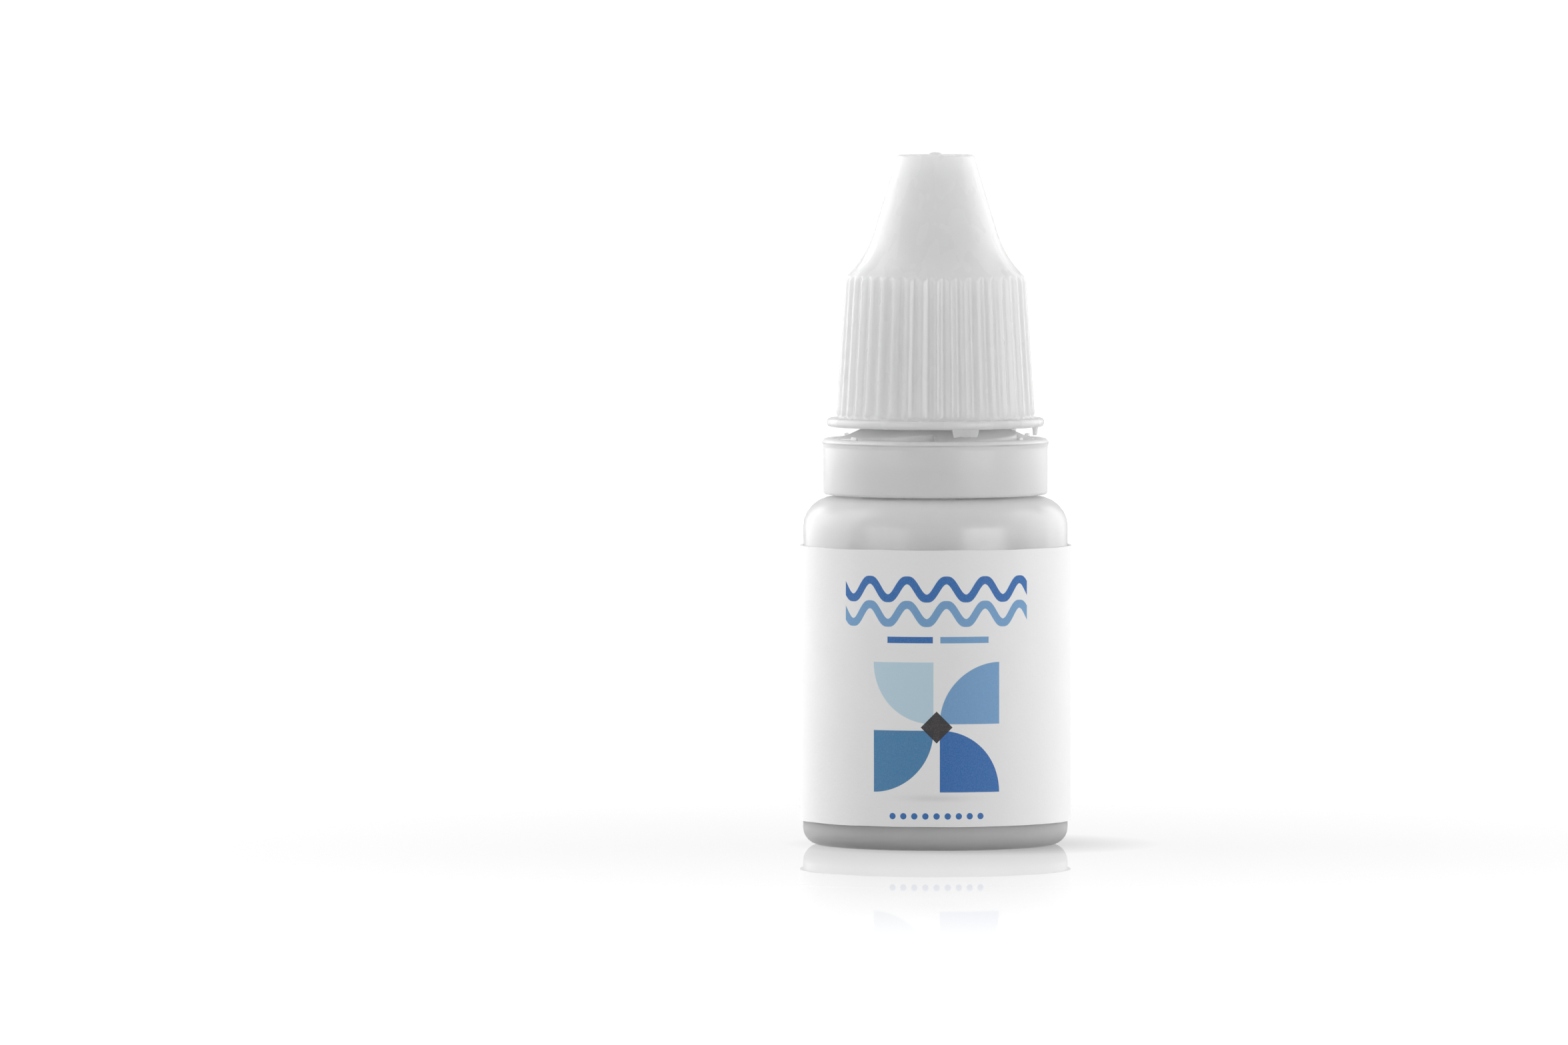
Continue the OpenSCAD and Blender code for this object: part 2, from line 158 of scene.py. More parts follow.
class DropperSizes(bpy.types.PropertyGroup):
    """Sizes of the dropper insert"""

    flange_r: length("Flange radius", "Radius of the insert's flange", 5.6)
    flange_h: length("Flange height", "Height of the insert's flange", 2.2)
    nozzle_r: length("Nozzle radius", "Radius of the nozzle's straight part", 2.95)
    straight: length("Straight part", "Height of the nozzle's straight part", 4.6)
    tip_r: length("Tip radius", "Radius of the nozzle's tip", 1.35)
    mouth_r: length("Mouth radius", "Radius of the dished mouth", 0.95)
    meter_r: length("Metering radius", "Radius of the hole that meters the drop", 0.3)
    dish_h: length("Dish depth", "Depth of the dished mouth", 1.2)
    channel_r: length("Channel radius", "Radius of the channel in the nozzle", 1.9)
    sleeve_bore_r: length("Sleeve bore", "Radius of the sleeve's bore", 3.5)
    play: length("Play", "Gap round the sleeve in the neck's bore", 0.05)


class CapSizes(bpy.types.PropertyGroup):
    """Sizes of the screw cap"""

    brim_z: length("Brim height", "Height of the brim's underside", 39.5)
    brim_t: length("Brim thickness", "Thickness of the brim", 0.8)
    skirt_low_r: length("Skirt radius at the brim", "Radius between the ribs at the brim", 9.1)
    ledge_r: length("Ledge radius", "Radius between the ribs at the ledge", 8.25)
    ledge_z: length("Ledge height", "Height of the ledge that ends the ribs", 53.8)
    top_r: length("Top radius", "Radius of the cap's flat top", 3.6)
    top_z: length("Top height", "Height of the cap's flat top", 65.15)
    taper: angle("Taper", "Slope of the cone's side, from upright", 16.9)
    flare_lean: angle("Flare lean", "Slope of the flare at the ledge, from upright", 45)
    gate_r: length("Gate radius", "Radius of the gate mark on the top", 0.7)
    wall: length("Wall", "Thickness of the cone's wall", 1.1)
    bore_r: length("Bore radius", "Radius of the bore outside the thread", 7.3)
    crest_r: length("Crest radius", "Radius inside the cap's thread", 6.0)
    bore_top: length("Bore top", "Height at which the bore ends", 52.6)
    pocket_z: length("Pocket height", "Height of the pocket's roof over the seal plug", 63.85)
    pocket_r: length("Pocket radius", "Radius of the seal plug's pocket", 2.95)
    ribs: IntProperty(name="Ribs", description="Grip ribs round the skirt", default=40, min=12)
    rib_h: length("Rib height", "How far the ribs stand out", 0.3)


class BandSizes(bpy.types.PropertyGroup):
    """Sizes of the tamper band"""

    inner_r: length("Inner radius", "Radius inside the band", 9.65)
    lip: length("Lip", "How far the lip at the band's top stands out", 0.08)
    lip_h: length("Lip height", "Height of the lip at the band's top", 0.65)
    top_z: length("Top height", "Height of the band's top", 38.4)
    catch_r: length("Catch radius", "Radius inside the catch bead", 8.95)
    catch_z: length("Catch height", "Height of the catch bead's top", 37.15)
    catch_h: length("Catch bead", "Height of the catch bead", 1.5)
    lug_r: length("Lug radius", "Radius inside the ratchet lugs", 8.25)
    lug_w: length("Lug width", "Width of each ratchet lug", 0.9)
    lug_drop: length("Lug drop", "From the band's top down to the lugs", 0.2)
    lug_back: angle("Lug place", "Turn from each wing's step back to its lug", 15.1)
    lugs: IntProperty(name="Lugs", description="Ratchet lugs inside the band", default=4, min=2)


class LabelSizes(bpy.types.PropertyGroup):
    """Sizes of the paper label and its print"""

    paper_t: length("Paper", "Thickness of the paper with its adhesive", 0.27)
    lap_at: angle("Lap place", "Direction of the lap, from the front to the right", 215)
    lap: angle("Lap", "Length of the lap where the label's ends meet", 14)
    ripple: length("Ripple", "How far the paper ripples", 0.05)
    wheel: length("Wheel", "Width of the printed pinwheel", 12.2)
    wheel_z: length("Wheel height", "Height of the pinwheel's middle", 11.7)
    wave_w: length("Wave width", "Half the width of the printed waves", 9.3)
    wave_z: length("Wave height", "Height between the two printed waves", 23.5)


class Colours(bpy.types.PropertyGroup):
    """Colours of the plastics, the paper and the inks"""

    bottle: colour("Bottle", "White of the bottle", "#F9F9F9")
    cap: colour("Cap", "White of the cap and the tamper band", "#F5F5F5")
    insert: colour("Insert", "White of the dropper insert", "#F6F7F7")
    seal: colour("Seal", "White of the seal plug", "#EBEDF0")
    paper: colour("Paper", "White of the label's paper", "#FBFBFB")
    deep_ink: colour("Deep ink", "Deep blue of the print", "#3871B5")
    mid_ink: colour("Mid ink", "Mid blue of the print", "#7BA8D3")
    teal_ink: colour("Teal ink", "Grey blue of the print", "#4D86B3")
    pale_ink: colour("Pale ink", "Pale blue of the print", "#C4DEEC")
    dark_ink: colour("Dark ink", "Near-black of the print", "#363333")


class Stage(bpy.types.PropertyGroup):
    """The camera and the studio"""

    camera_distance: length("Camera distance", "From the bottle's axis to the camera", 1600)
    camera_height: length("Camera height", "Height of the camera above the floor", 98)
    aim_left: length("Aim to the left", "From the bottle's axis to the picture's middle", 14.3)
    aim_height: length("Aim height", "Height of the picture's middle at the bottle", 30.4)
    focal_mm: FloatProperty(
        name="Focal length", description="Focal length on a 36 mm sensor", default=389.4, min=20
    )
    mirror: FloatProperty(
        name="Mirror",
        description="How strongly the floor mirrors the bottle's foot",
        default=0.45,
        max=1,
    )
    mirror_fade: length("Mirror fade", "Distance over which the floor's mirror fades", 165)
    fill: FloatProperty(name="Fill", description="Light of the white surroundings", default=0.15)


def rounded(corners, steps=5, closed=False):
    """The points of an outline of (radius, height, round) corners, each round drawn as an arc."""
    spots = [Vector(c[:2]) for c in corners]
    points = []
    for i, (spot, corner) in enumerate(zip(spots, corners)):
        is_end = not closed and i in (0, len(corners) - 1)
        r = corner[2] if len(corner) > 2 else 0
        if r == 0 or is_end:
            points.append(spot)
            continue
        back = (spots[i - 1] - spot).normalized()
        on = (spots[(i + 1) % len(spots)] - spot).normalized()
        half = back.angle(on) / 2
        middle = spot + (back + on).normalized() * r / math.sin(half)
        first = spot + back * r / math.tan(half) - middle
        last = spot + on * r / math.tan(half) - middle
        turn = first.angle_signed(last)
        for k in range(steps + 1):
            spin = Matrix.Rotation(-turn * k / steps, 2)
            points.append(middle + spin @ first)
    return points


def spin_outline(points, steps, closed=False, start=0.0, sweep=math.tau):
    """The shape that an outline of (radius, height) points makes when it turns about Z."""
    bm = bmesh.new()
    turned = Matrix.Rotation(start, 3, "Z")
    verts = [bm.verts.new(turned @ Vector((p[0], 0, p[1]))) for p in points]
    pairs = list(zip(verts, verts[1:])) + ([(verts[-1], verts[0])] if closed else [])
    edges = [bm.edges.new(pair) for pair in pairs]
    bmesh.ops.spin(
        bm,
        geom=verts + edges,
        cent=(0, 0, 0),
        axis=(0, 0, 1),
        dvec=(0, 0, 0),
        angle=sweep,
        steps=steps,
        use_merge=abs(sweep - math.tau) < 1e-6,
        use_duplicate=False,
    )
    return bm


def wind_thread(profile, root_r, steps_per_turn, first_z, lead, turns):
    """A thread that a (radius, height) profile winds up a helix, sunk to root_r at both ends."""
    # Shares of the thread's full height: the least, and the one at its end before the least applies
    least, first = 0.03, 0.15
    bm = bmesh.new()
    steps = round(turns * steps_per_turn)
    verts = [bm.verts.new((p[0], 0, first_z + p[1])) for p in profile]
    edges = [bm.edges.new((verts[i - 1], verts[i])) for i in range(len(verts))]
    bmesh.ops.spin(
        bm,
        geom=verts + edges,
        cent=(0, 0, 0),
        axis=(0, 0, 1),
        dvec=(0, 0, lead * turns / steps),
        angle=math.tau * turns,
        steps=steps,
        use_merge=False,
        use_duplicate=False,
    )
    rungs = [e for e in bm.edges if e.is_boundary]
    bmesh.ops.holes_fill(bm, edges=rungs, sides=len(profile))
    for v in bm.verts:
        across = math.hypot(v.co.x, v.co.y)
        up = (v.co.z - first_z) / lead * math.tau
        end = min(up, turns * math.tau - up) / THREAD_FADE + first
        grown = max(least, min(1, end))
        v.co.xy *= (root_r + (across - root_r) * grown) / across
    return bm


def soft_block(size, place):
    """A block with softened edges, put in its place by a matrix."""
    bm = bmesh.new()
    bmesh.ops.create_cube(bm, size=1, matrix=place @ Matrix.Diagonal((*size, 1)))
    bmesh.ops.bevel(
        bm,
        geom=list(bm.edges),
        offset=min(size) * 0.18,
        segments=2,
        profile=0.5,
        affect="EDGES",
        material=-1,
    )
    return bm


def torn_bridge(turn, wide, from_z, to_z):
    """A torn bridge's stub, from its root to its ragged end, at a turn from front to right."""
    # The end's thickness and width as shares of the root's, and how far its cells fall short
    thin, narrow, least, most = 0.6, 0.88, 0.05, 0.8
    radius = settings().band.inner_r + BRIDGE_GAP + BRIDGE_T / 2
    cells = max(2, round(wide / CELL))
    bm = bmesh.new()
    bmesh.ops.create_cube(bm, size=1)
    across = [e for e in bm.edges if abs(e.verts[0].co.y - e.verts[1].co.y) > 0.5]
    bmesh.ops.subdivide_edges(bm, edges=across, cuts=cells, use_grid_fill=True)
    end = 0.5 if to_z > from_z else -0.5
    for v in bm.verts:
        if v.co.z * end > 0:
            ragged = abs(noise.noise(Vector((v.co.y * cells * 0.9, turn, 0))))
            v.co.z -= end * (least + most * ragged)
            v.co.x *= thin
            v.co.y *= narrow
    bmesh.ops.scale(bm, vec=(BRIDGE_T, wide, abs(to_z - from_z)), verts=bm.verts)
    place = Matrix.Rotation(math.radians(turn - 90), 4, "Z") @ Matrix.Translation(
        (radius, 0, (from_z + to_z) / 2)
    )
    bmesh.ops.transform(bm, matrix=place, verts=bm.verts)
    return bm


def ring_of(sector, count):
    """A full ring of copies of a sector, merged where they meet."""
    mesh = bpy.data.meshes.new("sector")
    sector.to_mesh(mesh)
    sector.free()
    bm = bmesh.new()
    for _ in range(count):
        bm.from_mesh(mesh)
        mesh.transform(Matrix.Rotation(math.tau / count, 4, "Z"))
    bpy.data.meshes.remove(mesh)
    bmesh.ops.remove_doubles(bm, verts=bm.verts, dist=0.0005 * MM)
    return bm


def together(shapes):
    """One bmesh of several shapes."""
    bm = bmesh.new()
    for shape in shapes:
        mesh = bpy.data.meshes.new("part")
        shape.to_mesh(mesh)
        shape.free()
        bm.from_mesh(mesh)
        bpy.data.meshes.remove(mesh)
    return bm


def finished(name, bm, material, body, nodes, sharp=35):
    """Makes a bmesh a piece, facing outwards and smooth, on its body in place of its nodes."""
    bmesh.ops.remove_doubles(bm, verts=bm.verts, dist=0.0002 * MM)
    bmesh.ops.recalc_face_normals(bm, faces=bm.faces)
    mesh = bpy.data.meshes.new(name)
    bm.to_mesh(mesh)
    bm.free()
    mesh.shade_smooth()
    mesh.set_sharp_from_angle(angle=math.radians(sharp))
    mesh.materials.append(material)
    piece = bpy.data.objects.new(name, mesh)
    bpy.context.scene.collection.objects.link(piece)
    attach(piece, body)
    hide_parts(*nodes)


class Surface:
    """A material's node tree, put together one node at a time."""

    def __init__(self, name):
        self.material = bpy.data.materials.new(name)
        self.material.use_nodes = True
        self.tree = self.material.node_tree
        self.tree.nodes.clear()
        self.output = self.node("ShaderNodeOutputMaterial")

    def node(self, kind, **settings):
        """A new node with these settings."""
        made = self.tree.nodes.new(kind)
        for key, value in settings.items():
            setattr(made, key, value)
        return made

    def feed(self, socket, value):
        """Gives an input a value, or links it to another node's output."""
        if isinstance(value, bpy.types.NodeSocket):
            self.tree.links.new(value, socket)
        else:
            socket.default_value = value

    def math(self, operation, *values):
        """The result of a sum on numbers or outputs."""
        made = self.node("ShaderNodeMath", operation=operation)
        for socket, value in zip(made.inputs, values):
            self.feed(socket, value)
        return made.outputs[0]

    def blend(self, share, under, over):
        """The colour over laid on the colour under, by share."""
        made = self.node("ShaderNodeMix", data_type="RGBA")
        self.feed(made.inputs["Factor"], share)
        for socket, tint in (("A", under), ("B", over)):
            linked = isinstance(tint, bpy.types.NodeSocket)
            self.feed(made.inputs[socket], tint if linked else (*tint, 1))
        return made.outputs["Result"]

    def ramp(self, value, low, high, to_low=0.0, to_high=1.0):
        """The value's place between low and high, carried over to another range."""
        made = self.node("ShaderNodeMapRange")
        for socket, number in zip(made.inputs, (value, low, high, to_low, to_high)):
            self.feed(socket, number)
        return made.outputs[0]

    def grain(self, vector, size, detail, rough=0.5, stretch=(1, 1, 1)):
        """Noise whose specks are about size across, stretched along the axes."""
        place = self.node("ShaderNodeMapping")
        self.feed(place.inputs["Vector"], vector)
        place.inputs["Scale"].default_value = [1 / (size * s) for s in stretch]
        made = self.node("ShaderNodeTexNoise")
        self.feed(made.inputs["Vector"], place.outputs[0])
        made.inputs["Scale"].default_value = 1
        made.inputs["Detail"].default_value = detail
        made.inputs["Roughness"].default_value = rough
        return made.outputs["Fac"]

    def bump(self, height, distance, strength):
        """A bump of this height map."""
        made = self.node("ShaderNodeBump")
        made.inputs["Distance"].default_value = distance
        made.inputs["Strength"].default_value = strength
        self.feed(made.inputs["Height"], height)
        return made.outputs[0]


def moulded(kind, white, seam=None):
    """White moulded plastic with a satin skin, light soaking through it, and a parting line."""
    rough, glow = PLASTICS[kind]
    s = Surface(f"{kind}_plastic")
    spot = s.node("ShaderNodeTexCoord").outputs["Object"]
    cloud = s.grain(spot, 6 * MM, detail=2)
    flow = s.grain(spot, 2.2 * MM, detail=2, stretch=(1, 1, 3))
    skin = s.grain(spot, 0.12 * MM, detail=2)
    flow_depth, skin_depth, line_depth = 0.25, 0.12, 2.5
    height = s.math("MULTIPLY_ADD", flow, flow_depth, s.math("MULTIPLY", skin, skin_depth))
    if seam is not None:
        across = s.node("ShaderNodeSeparateXYZ")
        s.feed(across.inputs[0], spot)
        off = s.math(
            "ADD",
            s.math("MULTIPLY", across.outputs["X"], math.cos(seam)),
            s.math("MULTIPLY", across.outputs["Y"], math.sin(seam)),
        )
        line = s.ramp(s.math("ABSOLUTE", off), 0.03 * MM, 0.09 * MM, 1.0, 0.0)
        height = s.math("MULTIPLY_ADD", line, line_depth, height)
    shader = s.node("ShaderNodeBsdfPrincipled")
    dim = [c * 0.985 for c in white]
    s.feed(shader.inputs["Base Color"], s.blend(s.ramp(cloud, 0.3, 0.7), dim, tuple(white)))
    s.feed(shader.inputs["Roughness"], s.ramp(flow, 0.2, 0.8, rough - 0.01, rough + 0.015))
    s.feed(shader.inputs["Normal"], s.bump(height, 0.01 * MM, 0.6))
    shader.inputs["IOR"].default_value = 1.5
    shader.inputs["Subsurface Weight"].default_value = 0.8
    shader.inputs["Subsurface Radius"].default_value = (1.0, 1.0, 1.0)
    shader.inputs["Subsurface Scale"].default_value = 3 * MM
    through = s.node("ShaderNodeBsdfTranslucent")
    s.feed(through.inputs["Color"], (*white, 1))
    mixed = s.node("ShaderNodeMixShader")
    s.feed(mixed.inputs[0], glow)
    s.feed(mixed.inputs[1], shader.outputs[0])
    s.feed(mixed.inputs[2], through.outputs[0])
    s.feed(s.output.inputs["Surface"], mixed.outputs[0])
    return s.material


def printed_paper(sizes, colours):
    """Uncoated paper printed with two waves, two bars, a pinwheel and a row of dots."""
    s = Surface("printed_paper")
    uv = s.node("ShaderNodeUVMap", uv_map="label")
    apart = s.node("ShaderNodeSeparateXYZ")
    s.feed(apart.inputs[0], uv.outputs[0])
    round_mm = math.tau * LABEL_HIGH.x / MM
    tall_mm = (LABEL_HIGH.z - LABEL_LOW.z) / MM
    u = s.math("MULTIPLY_ADD", apart.outputs["X"], round_mm, -round_mm / 2)
    z = s.math("MULTIPLY_ADD", apart.outputs["Y"], tall_mm, LABEL_LOW.z / MM)
    ink_edge = 0.02

    def inside(distance, limit):
        """1 where a distance in millimetres is under the limit, with an edge as soft as ink."""
        return s.ramp(distance, limit - ink_edge, limit + ink_edge, 1.0, 0.0)

    def both(*masks):
        """1 where all the masks are 1."""
        made = masks[0]
        for mask in masks[1:]:
            made = s.math("MINIMUM", made, mask)
        return made

    def away(value, middle):
        """How far a value is from a middle."""
        return s.math("ABSOLUTE", s.math("SUBTRACT", value, middle))

    def squares(a, b):
        """The sum of two squares."""
        return s.math("ADD", s.math("MULTIPLY", a, a), s.math("MULTIPLY", b, b))

    def bar(from_u, to_u, at_z, thick):
        """A bar from one place across the label to another."""
        across = inside(away(u, (from_u + to_u) / 2), (to_u - from_u) / 2)
        return both(across, inside(away(z, at_z), thick / 2))

    def disc(at_u, at_z, radius):
        """A disc round a place."""
        du, dz = s.math("SUBTRACT", u, at_u), s.math("SUBTRACT", z, at_z)
        return inside(s.math("SQRT", squares(du, dz)), radius)

    def wave(at_z, swing, pitch, thick):
        """A wave across the label's front, as thick on its slopes as on its crests."""
        turn = s.math("MULTIPLY", u, math.tau / pitch)
        crest = s.math("MULTIPLY_ADD", s.math("SINE", turn), swing, at_z)
        off = s.math("ABSOLUTE", s.math("SUBTRACT", z, crest))
        slope = s.math("MULTIPLY", s.math("COSINE", turn), swing * math.tau / pitch)
        lean = s.math("SQRT", s.math("MULTIPLY_ADD", slope, slope, 1.0))
        far = s.math("DIVIDE", off, lean)
        return both(inside(far, thick / 2), inside(s.math("ABSOLUTE", u), sizes.wave_w / MM))

    spot = s.node("ShaderNodeTexCoord").outputs["Object"]
    cloud = s.grain(spot, 4 * MM, detail=4, rough=0.6)
    fibre = s.grain(spot, 0.35 * MM, detail=5, rough=0.65)
    fine = s.grain(spot, 0.1 * MM, detail=3, rough=0.6)
    white, cloudy, woven = ([c * share for c in colours.paper] for share in (1, 0.975, 0.92))
    paper_tone = s.blend(s.ramp(cloud, 0.3, 0.7), cloudy, white)
    paper_tone = s.blend(s.ramp(fibre, 0.55, 0.8, 0.0, 0.25), paper_tone, woven)

    # The print's layout, in millimetres across from the label's middle and up from the floor
    wave_z, wave_step, swing, pitch, stroke = sizes.wave_z / MM, 1.15, 0.85, 3.72, 0.75
    bar_z, bar_t = 19.9, 0.6
    dot_z, dot_r, dot_step = 3.35, 0.3, 1.05
    wheel_z, half = sizes.wheel_z / MM, sizes.wheel / 2 / MM
    gap, hub_r = 0.3, 1.5
    inks = [
        (wave(wave_z + wave_step, swing, pitch, stroke), colours.deep_ink),
        (wave(wave_z - wave_step, swing, pitch, stroke), colours.mid_ink),
        (bar(-4.7, -0.35, bar_z, bar_t), colours.deep_ink),
        (bar(0.35, 5.0, bar_z, bar_t), colours.mid_ink),
    ]
    blades = [
        (1, 1, colours.mid_ink),
        (-1, 1, colours.pale_ink),
        (-1, -1, colours.teal_ink),
        (1, -1, colours.deep_ink),
    ]
    for x, y, ink in blades:
        near, far = sorted((x * gap, x * half))
        tile = bar(near, far, wheel_z + y * (half + gap) / 2, half - gap)
        pivot = (x * half, y * gap) if x == y else (x * gap, y * half)
        inks.append((both(tile, disc(pivot[0], wheel_z + pivot[1], half - gap)), ink))
    turned = s.math("ADD", s.math("ABSOLUTE", u), away(z, wheel_z))
    inks.append((inside(turned, hub_r), colours.dark_ink))
    inks += [(disc(k * dot_step, dot_z, dot_r), colours.deep_ink) for k in range(-4, 5)]

    # A soft grey shadow printed under the pinwheel
    shade_w, shade_h, shade_drop, shade_depth = 3.2, 0.32, 0.55, 0.16
    shade_u = s.math("MULTIPLY", u, 1 / shade_w)
    below = s.math("SUBTRACT", z, wheel_z - half - shade_drop)
    shade_z = s.math("MULTIPLY", below, 1 / shade_h)
    fall = s.math("EXPONENT", s.math("MULTIPLY", squares(shade_u, shade_z), -1.0))
    tone = s.blend(s.math("MULTIPLY", fall, shade_depth), paper_tone, (0.25, 0.25, 0.26))
    inked = None
    for mask, ink in inks:
        patchy = s.math("MULTIPLY", mask, s.ramp(fine, 0.2, 0.6, 0.93, 1.0))
        tone = s.blend(patchy, tone, tuple(ink))
        inked = mask if inked is None else s.math("MAXIMUM", inked, mask)
    shader = s.node("ShaderNodeBsdfPrincipled")
    s.feed(shader.inputs["Base Color"], tone)
    s.feed(shader.inputs["Roughness"], s.ramp(inked, 0.0, 1.0, 0.8, 0.62))
    height = s.math("MULTIPLY_ADD", fibre, 0.7, s.math("MULTIPLY", fine, 0.3))
    height = s.math("MULTIPLY_ADD", cloud, 1.6, height)
    s.feed(shader.inputs["Normal"], s.bump(height, 0.03 * MM, 0.7))
    shader.inputs["Specular IOR Level"].default_value = 0.3
    s.feed(s.output.inputs["Surface"], shader.outputs[0])
    return s.material


def settings():
    """The scene's settings for the bottle."""
    return bpy.context.scene.eye_drop_bottle


class Settings(bpy.types.PropertyGroup):
    """Everything that a user may change"""

    bottle: PointerProperty(type=BottleSizes)
    dropper: PointerProperty(type=DropperSizes)
    cap: PointerProperty(type=CapSizes)
    band: PointerProperty(type=BandSizes)
    label: PointerProperty(type=LabelSizes)
    colours: PointerProperty(type=Colours)
    stage: PointerProperty(type=Stage)


class BOTTLE_OT_body(bpy.types.Operator):
    """Build the moulded bottle with its ratchet flange and threaded neck"""

    bl_idname = "eye_drop_bottle.body"
    bl_label = "Bottle"

    def execute(self, context):
        s = settings().bottle
        body_r, rim_z = BOTTLE_HIGH.x, BOTTLE_HIGH.z
        foot_r = body_r - s.heel_r
        inner_r = body_r - s.wall
        flange_top = s.flange_z + s.flange_rim
        cone_top = flange_top + (s.wing_r - s.neck_r) * math.tan(s.cone_slope)
        root_in = s.root_r - s.root_wall
        bore_low, root_top = flange_top + 0.4 * MM, s.flange_z - 0.4 * MM
        outline = [
            (0, s.push_up),
            (foot_r - s.foot_ring - 1 * MM, s.push_up, HOLLOW),
            (foot_r - s.foot_ring, 0, CRISP),
            (body_r, 0, s.heel_r),
            (body_r, s.shoulder_z, s.shoulder_r),
            (s.root_r, s.shoulder_z, SOFT),
            (s.root_r, s.flange_z, CRISP),
            (s.wing_r, s.flange_z, 0.15 * MM),
            (s.wing_r, flange_top, CRISP),
            (s.neck_r, cone_top, HOLLOW),
            (s.neck_r, rim_z, CRISP),
            (s.bore_r, rim_z, CRISP),
            (s.bore_r, bore_low, HOLLOW),
            (root_in, root_top, HOLLOW),
            (root_in, s.shoulder_z - s.wall, HOLLOW),
            (inner_r, s.shoulder_z - s.wall, s.shoulder_r - s.wall),
            (inner_r, s.push_up + s.wall, HOLLOW),
            (0, s.push_up + s.wall),
        ]
        shell = spin_outline(rounded(outline, steps=6), steps=192)
        pitch = math.tau / s.wings
        for v in shell.verts:
            across = math.hypot(v.co.x, v.co.y)
            share = (math.atan2(v.co.y, v.co.x) % pitch) / pitch
            limit = s.wing_r - s.wing_fall * share
            if across > limit and s.flange_z - 0.01 * MM < v.co.z < cone_top:
                if v.co.z > s.flange_z + s.flange_rim / 2:
                    v.co.z += (s.wing_r - limit) * math.tan(s.cone_slope)
                v.co.xy *= (limit - (s.wing_r - across)) / across
        depth = s.crest_r - s.neck_r + SINK
        profile = [
            (s.crest_r - depth, -s.crest_w / 2 - STEEP * depth),
            (s.crest_r, -s.crest_w / 2, 0.12 * MM),
            (s.crest_r, s.crest_w / 2, 0.15 * MM),
            (s.crest_r - depth, s.crest_w / 2 + SLOPED * depth),
        ]
        thread = wind_thread(
            rounded(profile, steps=3),
            root_r=s.crest_r - depth,
            steps_per_turn=96,
            first_z=s.first_crest,
            lead=s.lead,
            turns=s.turns,
        )
        bm = together([shell, thread])
        white = moulded("bottle", settings().colours.bottle, seam=s.seam)
        finished("bottle_shell", bm, white, "bottle_body", ["bottle"])
        return {"FINISHED"}


class BOTTLE_OT_dropper(bpy.types.Operator):
    """Build the dropper insert with its sleeve, flange and nozzle"""

    bl_idname = "eye_drop_bottle.dropper"
    bl_label = "Dropper insert"

    def execute(self, context):
        s = settings().dropper
        rim_z, tip_z = BOTTLE_HIGH.z, INSERT_HIGH.z
        bore_r = settings().bottle.bore_r
        sleeve_r = bore_r - s.play
        flange_top = rim_z + s.flange_h
        bead_z, bead_foot, bead_face = rim_z - 3 * MM, 0.5 * MM, 0.25 * MM
        outline = [
            (s.sleeve_bore_r, INSERT_LOW.z, CRISP),
            (sleeve_r, INSERT_LOW.z, SOFT),
            (sleeve_r, bead_z - bead_foot),
            (bore_r, bead_z - bead_face),
            (bore_r, bead_z + bead_face),
            (sleeve_r, bead_z + bead_foot),
            (sleeve_r, rim_z),
            (s.flange_r, rim_z, CRISP),
            (s.flange_r, flange_top, SOFT),
            (s.nozzle_r, flange_top, SOFT),
            (s.nozzle_r, flange_top + s.straight, 5 * MM),
            (s.tip_r, tip_z, CRISP),
            (s.mouth_r, tip_z, 0.08 * MM),
            (s.meter_r, tip_z - s.dish_h, 0.1 * MM),
            (s.meter_r, tip_z - s.dish_h - 0.6 * MM),
            (s.channel_r, flange_top + s.straight - 0.2 * MM, 2 * MM),
            (s.channel_r, flange_top, SOFT),
            (s.sleeve_bore_r, rim_z + 0.5 * MM, HOLLOW),
        ]
        bm = spin_outline(rounded(outline, steps=6, closed=True), steps=96, closed=True)
        white = moulded("insert", settings().colours.insert)
        finished("dropper_plug", bm, white, "bottle_body", ["dropper_insert"])
        return {"FINISHED"}


